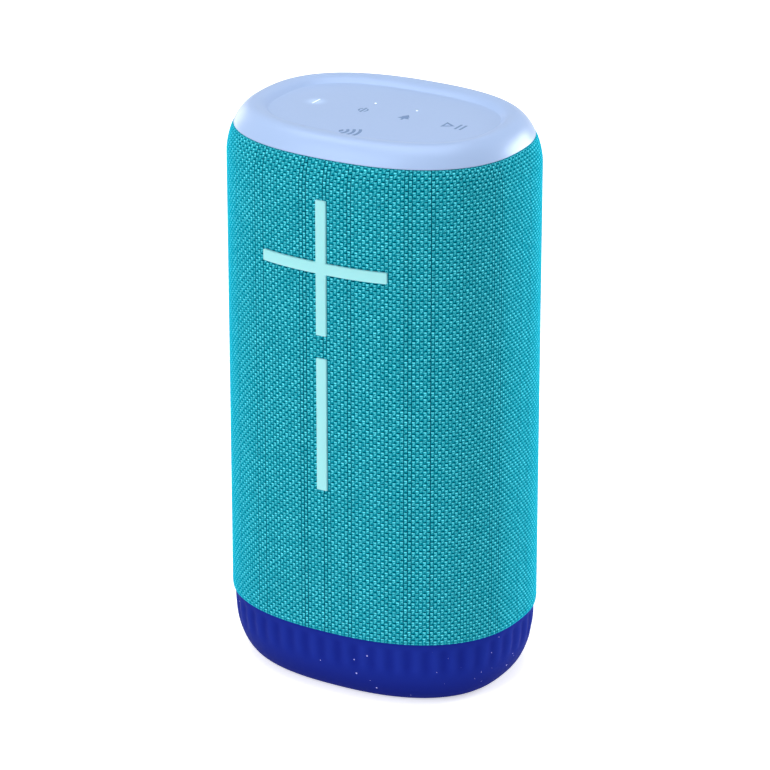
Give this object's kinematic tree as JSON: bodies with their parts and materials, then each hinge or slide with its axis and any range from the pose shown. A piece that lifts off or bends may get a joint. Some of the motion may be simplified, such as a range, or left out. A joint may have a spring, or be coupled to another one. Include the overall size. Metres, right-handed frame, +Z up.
{
  "type": "portable wireless speaker",
  "caption": "Tall rounded portable speaker in a woven sleeve, with a dished soft cap, pressable keys, a rubber boot, a charge door and sealed sound drivers inside.",
  "frame": {"origin": "middle of the footprint, on the surface the speaker stands on", "axes": "+Z up along the body, -Y towards the front with the large volume keys, +Y towards the charge door, X across the width"},
  "size_m": [0.1144, 0.0891, 0.213],
  "materials": {
    "cap_silicone": "satin, soft touch",
    "key_silicone": "satin, soft touch",
    "light_guide": "clear and white, lit when in use",
    "inner_casing": "fine spark texture",
    "circuit_board": "solder mask over glass fibre",
    "heat_sink": "extruded",
    "woven_fabric": "two-tone plain weave",
    "grille_plastic": "moulded",
    "volume_marks": "matte, slightly raised",
    "surround_rubber": "matte",
    "pressed_steel": "pressed and plated",
    "screw_steel": "zinc plated",
    "magnet_iron": "machined",
    "cone_pulp": "pressed fibre",
    "cell_wrap": "shrink wrap",
    "boot_rubber": "satin with pale speckles"
  },
  "bodies": {
    "housing": {"top_cap": "cap_silicone", "top_frame": "inner_casing", "pair_light_pipe": "light_guide", "boost_light_pipe": "light_guide", "key_board": "circuit_board", "main_board": "circuit_board", "amplifier_heat_sink": "heat_sink", "antenna_strip": "circuit_board", "fabric_sleeve": "woven_fabric", "grille_shell": "grille_plastic", "volume_board": "circuit_board", "enclosure_tub": "inner_casing", "enclosure_lid": "inner_casing", "lid_gasket": "surround_rubber", "driver_left_basket": "pressed_steel", "driver_left_magnet": "magnet_iron", "driver_left_surround": "surround_rubber", "driver_right_basket": "pressed_steel", "driver_right_magnet": "magnet_iron", "driver_right_surround": "surround_rubber", "radiator_front_frame": "inner_casing", "radiator_front_surround": "surround_rubber", "radiator_rear_frame": "inner_casing", "radiator_rear_surround": "surround_rubber", "battery_cell_1": "cell_wrap", "battery_cell_2": "cell_wrap", "battery_cell_3": "cell_wrap", "battery_tray": "inner_casing", "battery_clip": "inner_casing", "base_boot": "boot_rubber", "base_plate": "inner_casing", "charge_socket": "pressed_steel", "port_board": "circuit_board", "lid_screw_1": "screw_steel", "lid_screw_2": "screw_steel", "lid_screw_3": "screw_steel", "lid_screw_4": "screw_steel", "base_screw_1": "screw_steel", "base_screw_2": "screw_steel", "base_screw_3": "screw_steel", "base_screw_4": "screw_steel"},
    "power_key": {"key_power": "key_silicone", "power_light": "light_guide"},
    "pair_key": {"key_pair": "key_silicone"},
    "boost_key": {"key_boost": "key_silicone"},
    "play_key": {"key_play": "key_silicone"},
    "volume_up_key": {"key_volume_up": "volume_marks"},
    "volume_down_key": {"key_volume_down": "volume_marks"},
    "driver_left_moving": {"driver_left_cone": "cone_pulp"},
    "driver_right_moving": {"driver_right_cone": "cone_pulp"},
    "radiator_front_moving": {"radiator_front_diaphragm": "magnet_iron"},
    "radiator_rear_moving": {"radiator_rear_diaphragm": "magnet_iron"},
    "charge_door": {"port_door": "boot_rubber"}
  },
  "joints": [
    {"name": "power_key_press", "type": "slide", "parent": "housing", "child": "power_key", "axis": [0, 0, -1], "range_m": [0, 0.0005], "stiffness_N_per_m": 2500},
    {"name": "pair_key_press", "type": "slide", "parent": "housing", "child": "pair_key", "axis": [0, 0, -1], "range_m": [0, 0.0005], "stiffness_N_per_m": 2500},
    {"name": "boost_key_press", "type": "slide", "parent": "housing", "child": "boost_key", "axis": [0, 0, -1], "range_m": [0, 0.0005], "stiffness_N_per_m": 2500},
    {"name": "play_key_press", "type": "slide", "parent": "housing", "child": "play_key", "axis": [0, 0, -1], "range_m": [0, 0.0005], "stiffness_N_per_m": 2500},
    {"name": "volume_up_press", "type": "slide", "parent": "housing", "child": "volume_up_key", "axis": [0, 1, 0], "range_m": [0, 0.0004], "stiffness_N_per_m": 3000},
    {"name": "volume_down_press", "type": "slide", "parent": "housing", "child": "volume_down_key", "axis": [0, 1, 0], "range_m": [0, 0.0004], "stiffness_N_per_m": 3000},
    {"name": "driver_left_stroke", "type": "slide", "parent": "housing", "child": "driver_left_moving", "axis": [-1, 0, 0], "range_m": [-0.0015, 0.0015], "stiffness_N_per_m": 1500},
    {"name": "driver_right_stroke", "type": "slide", "parent": "housing", "child": "driver_right_moving", "axis": [1, 0, 0], "range_m": [-0.0015, 0.0015], "stiffness_N_per_m": 1500},
    {"name": "radiator_front_stroke", "type": "slide", "parent": "housing", "child": "radiator_front_moving", "axis": [0, -1, 0], "range_m": [-0.002, 0.002], "stiffness_N_per_m": 1200},
    {"name": "radiator_rear_stroke", "type": "slide", "parent": "housing", "child": "radiator_rear_moving", "axis": [0, 1, 0], "range_m": [-0.002, 0.002], "stiffness_N_per_m": 1200},
    {"name": "charge_door_hinge", "type": "hinge", "parent": "housing", "child": "charge_door", "pos_m": [0, 0.04096, 0.0079], "axis": [-1, 0, 0], "range_deg": [0, 100]}
  ]
}
